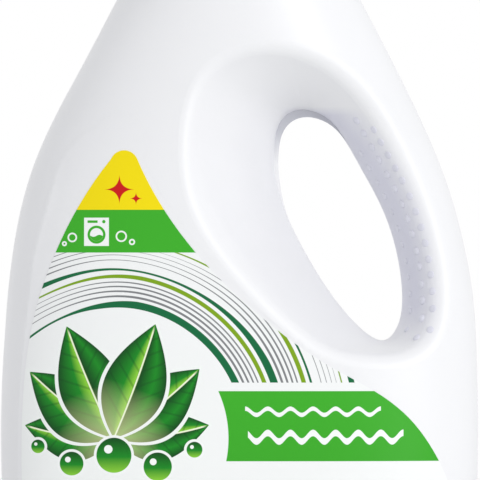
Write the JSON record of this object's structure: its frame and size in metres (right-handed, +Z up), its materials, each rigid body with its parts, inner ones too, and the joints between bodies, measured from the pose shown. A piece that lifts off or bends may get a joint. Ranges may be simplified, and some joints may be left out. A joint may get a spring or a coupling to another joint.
{
  "type": "laundry detergent bottle",
  "caption": "White blown bottle with a moulded-through side handle, front label, pouring spout and a ribbed screw-on dosing cap.",
  "frame": {"origin": "middle of the base, on the surface that the bottle stands on", "axes": "+Z up along the neck, +X towards the handle, -Y out of the labelled front"},
  "size_m": [0.17, 0.0856, 0.304],
  "materials": {
    "bottle_plastic": "soft satin white",
    "label_film": "printed film",
    "spout_plastic": "natural, slightly milky",
    "seal_foam": "fine foam",
    "cap_plastic": "satin green"
  },
  "bodies": {
    "bottle": {"bottle": "bottle_plastic", "front_label": "label_film", "pour_spout": "spout_plastic"},
    "seal": {"seal_ring": "seal_foam"},
    "cap": {"dosing_cap": "cap_plastic"}
  },
  "joints": [
    {"name": "cap_rise", "type": "slide", "parent": "bottle", "child": "seal", "axis": [0, 0, 1], "range_m": [0, 0.0361]},
    {"name": "cap_turn", "type": "hinge", "parent": "seal", "child": "cap", "pos_m": [0, 0, 0.272], "axis": [0, 0, 1], "range_deg": [0, 1080]}
  ],
  "couplings": [
    {"joint": "cap_rise", "follows": "cap_turn", "m_per_rad": 0.0019099}
  ]
}
